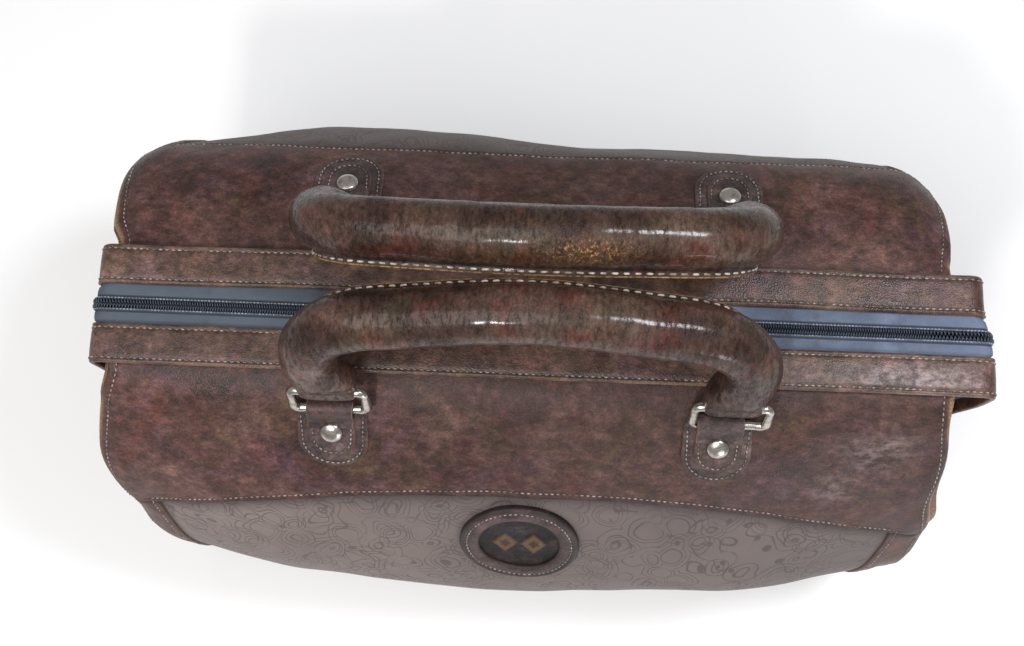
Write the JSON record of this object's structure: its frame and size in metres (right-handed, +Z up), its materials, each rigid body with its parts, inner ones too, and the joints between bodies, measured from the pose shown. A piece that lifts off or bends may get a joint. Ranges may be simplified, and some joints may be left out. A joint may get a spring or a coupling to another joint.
{
  "type": "soft leather flight bag",
  "caption": "Soft leather and coated-canvas flight bag with a full-length top zip band, rolled handles on hinged metal rings, and zip sliders that travel.",
  "frame": {"origin": "middle of the footprint, on the surface under the feet", "axes": "+X along the zip, +Y towards the back face, +Z up"},
  "size_m": [0.4812, 0.2788, 0.392],
  "materials": {
    "brown_leather": "mottled, worn semi-gloss",
    "dark_leather": "dark, glossy, cracked",
    "strip_leather": "worn semi-gloss",
    "printed_canvas": "coated canvas, matte",
    "zip_tape": "woven, matte",
    "zip_nylon": "satin",
    "nickel": "plated, scuffed",
    "lining_cloth": "matte",
    "fibre_board": "raw",
    "rope": "raw cord"
  },
  "bodies": {
    "bag": {"front_yoke": "brown_leather", "front_canvas_panel": "printed_canvas", "front_left_border": "brown_leather", "front_right_border": "brown_leather", "back_yoke": "brown_leather", "back_canvas_panel": "printed_canvas", "back_left_border": "brown_leather", "back_right_border": "brown_leather", "left_end_panel": "brown_leather", "right_end_panel": "brown_leather", "bottom_panel": "dark_leather", "bottom_board": "fibre_board", "lining": "lining_cloth", "front_zip_strip": "strip_leather", "front_zip_tape": "zip_tape", "front_zip_coil": "zip_nylon", "back_zip_strip": "strip_leather", "back_zip_tape": "zip_tape", "back_zip_coil": "zip_nylon", "left_zip_end_tab": "brown_leather", "right_zip_end_tab": "brown_leather", "front_left_outer_chape": "brown_leather", "front_left_inner_chape": "brown_leather", "front_left_rivet": "nickel", "front_left_rivet_washer": "nickel", "front_left_foot": "nickel", "front_right_outer_chape": "brown_leather", "front_right_inner_chape": "brown_leather", "front_right_rivet": "nickel", "front_right_rivet_washer": "nickel", "front_right_foot": "nickel", "back_left_outer_chape": "brown_leather", "back_left_inner_chape": "brown_leather", "back_left_rivet": "nickel", "back_left_rivet_washer": "nickel", "back_left_foot": "nickel", "back_right_outer_chape": "brown_leather", "back_right_inner_chape": "brown_leather", "back_right_rivet": "nickel", "back_right_rivet_washer": "nickel", "back_right_foot": "nickel", "badge_disc": "dark_leather", "badge_rim": "brown_leather"},
    "front_rings": {"front_left_ring": "nickel", "front_right_ring": "nickel"},
    "front_handle": {"front_grip": "dark_leather", "front_grip_core": "rope"},
    "back_rings": {"back_left_ring": "nickel", "back_right_ring": "nickel"},
    "back_handle": {"back_grip": "dark_leather", "back_grip_core": "rope"},
    "left_zip_slider": {"left_slider": "nickel"},
    "right_zip_slider": {"right_slider": "nickel"},
    "left_pull": {"left_pull_tab": "nickel"},
    "right_pull": {"right_pull_tab": "nickel"}
  },
  "joints": [
    {"name": "front_ring_swing", "type": "hinge", "parent": "bag", "child": "front_rings", "pos_m": [0, -0.05204, 0.27665], "axis": [1, 0, 0], "range_deg": [0, 75]},
    {"name": "front_handle_swing", "type": "hinge", "parent": "front_rings", "child": "front_handle", "pos_m": [0, -0.04609, 0.2947], "axis": [1, 0, 0], "range_deg": [0, 70]},
    {"name": "back_ring_swing", "type": "hinge", "parent": "bag", "child": "back_rings", "pos_m": [0, 0.05922, 0.28083], "axis": [-1, 0, 0], "range_deg": [0, 75]},
    {"name": "back_handle_swing", "type": "hinge", "parent": "back_rings", "child": "back_handle", "pos_m": [0, 0.0519, 0.29837], "axis": [-1, 0, 0], "range_deg": [0, 70]},
    {"name": "left_slider_travel", "type": "slide", "parent": "bag", "child": "left_zip_slider", "axis": [-1, 0, 0], "range_m": [0, 0.19]},
    {"name": "right_slider_travel", "type": "slide", "parent": "bag", "child": "right_zip_slider", "axis": [1, 0, 0], "range_m": [0, 0.19]},
    {"name": "left_pull_flip", "type": "hinge", "parent": "left_zip_slider", "child": "left_pull", "pos_m": [-0.013, 0, 0.2843], "axis": [0, 1, 0], "range_deg": [0, 135]},
    {"name": "right_pull_flip", "type": "hinge", "parent": "right_zip_slider", "child": "right_pull", "pos_m": [0.013, 0, 0.2843], "axis": [0, -1, 0], "range_deg": [0, 135]}
  ]
}
